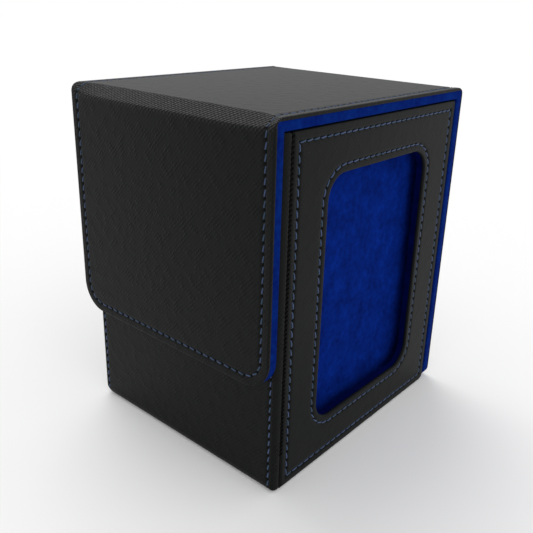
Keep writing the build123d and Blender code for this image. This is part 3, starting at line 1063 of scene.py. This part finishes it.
def strip_outline(length, lid_run, radius):
    """The strip's outline from the cut, down one side, round the far end and back. Its
    columns stand closer together over the fold."""
    corners = [
        (-half_width, 0, -1, 0, 0), (-half_width, length, -1, 1, radius),
        (half_width, length, 1, 1, radius), (half_width, 0, 1, 0, 0),
    ]
    straight = length - radius
    fold_start, fold_end = max(lid_run - FOLD_MARGIN, 0), lid_run + bend_run + FOLD_MARGIN
    spans = (
        (0, fold_start, STRIP_STEP), (fold_start, fold_end, FOLD_STEP), (fold_end, straight, STRIP_STEP),
    )
    along = [np.linspace(a, b, max(1, round((b - a) / step)) + 1)[:-1] for a, b, step in spans if b > a]
    side = np.r_[np.concatenate(along), straight] / straight
    end = np.linspace(0, 1, round(2 * half_width / STRIP_STEP) + 1)
    bends = round(radius * math.pi / 2 / STRIP_STEP)
    return outline(corners, (side, end, 1 - side[::-1]), bends, closed=False)


def strip_part(name, facing, start, lid_run, low_z, radius, sizes, nodes, lining_nodes):
    """One part of the strip: its leatherette, its lining and the thread on both faces. It
    bends over the fold from the lid down to its lower end."""
    length = lid_run + bend_run + top_z - bend_reach - low_z
    edge = strip_outline(length, lid_run, radius)
    place = strip_place(facing, start, lid_run, low_z, sizes)
    holes = needle_holes(inset(edge, STRIP_SEAM)[0], closed=False)
    face = face_steps(half_width, MIDDLE_ROWS)

    def lay(edge, by):
        """Set in like any outline near the edge, and from there straight to the middle line,
        so that the columns over the fold run square across the strip."""
        flat = inset(edge, np.minimum(by, FINE_REACH))
        share = np.clip((by - FINE_REACH) / (half_width - FINE_REACH), 0, 1)[..., None]
        middle = np.stack([0 * flat[..., 0], np.minimum(flat[..., 1], length - FAN_REACH)], -1)
        return flat + (middle - flat) * share

    back = np.array([*BACK_STEPS, half_width])
    rows = edge_rows(
        len(edge), face, half_width, STRIP_EDGE, skin_thick, EDGE_BREAK, [(by, -skin_thick) for by in back]
    )

    def pattern(flat):
        """The grain runs on over the whole strip, and the fold opens it in a flat-topped bell."""
        along = flat[..., 1]
        plain = np.interp(along, (lid_run, lid_run + bend_run), (LID_EMBOSS, FLAP_EMBOSS))
        fold = np.exp(-(np.abs((along - lid_run) / bend_run - 0.5) * FOLD_GRAIN[0]) ** FOLD_GRAIN[1])
        emboss = plain + (FOLD_EMBOSS - plain) * fold
        return np.stack([flat[..., 0], facing * along, emboss], -1)

    seam = (lambda flat, by: by - STRIP_SEAM, holes)
    skin = leather_piece(
        name + "_leatherette", edge, rows, slice(0, len(face)), [seam], place, pattern,
        closed=False, lay=lay,
    )
    turn = np.linspace(0, math.pi / 2, LINING_BENDS + 1)
    floor = LINING_SHEET - strip_thick
    by = np.r_[
        EDGE_BREAK, 0, STRIP_EDGE * (1 - np.cos(turn)), back, back[::-1], LINING_SHEET, LINING_SHEET,
    ]
    height = np.r_[
        -skin_thick, -skin_thick - EDGE_BREAK, STRIP_EDGE * (1 - np.sin(turn)) - strip_thick,
        0 * back - strip_thick, 0 * back + floor, floor, -skin_thick,
    ]
    by, height = (np.tile(v[:, None], (1, len(edge))) for v in (by, height))
    flat = lay(edge, by)
    lining = surface(
        name + "_microfibre", place(flat[..., 0], flat[..., 1], height), strip_microfibre,
        closed=False, ring=True,
    )
    thread = stitches(name + "_stitching", [(holes, False)], place, strip_thread)
    back_thread = stitches(
        name + "_back_stitching", [(holes, False)], place, strip_thread, level=SEAM_GROOVE - strip_thick,
        way=-1,
    )
    hinge_y, hinge_z = facing * (half_depth - skin_thick), top_z - skin_thick
    lid_side, hanging_side = [
        (0, (hinge_y - facing * step) * MM, (hinge_z + step) * MM) for step in (HINGE_TURN, -HINGE_TURN)
    ]
    for piece in (skin, lining, thread, back_thread):
        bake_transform(piece)
        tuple(lid_side)
        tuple(hanging_side)
    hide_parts(*nodes)
    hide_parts(*lining_nodes)


strip_part(
    "lid_and_flap", -1, -cut_y, cut_y + half_depth - bend_reach, span("flap_cover")[0][2], FLAP_ROUND,
    FRONT_FOLD, ("lid_cover", "front_fold_cover", "flap_cover"),
    ("lid_lining", "front_fold_lining", "flap_lining"),
)
strip_part(
    "back_panel", 1, cut_y, REAR_LEAD, span("back_panel_cover")[0][2], BACK_ROUND,
    REAR_FOLD, ("back_panel_cover", "rear_fold_cover"),
    ("back_panel_lining", "rear_fold_lining"),
)
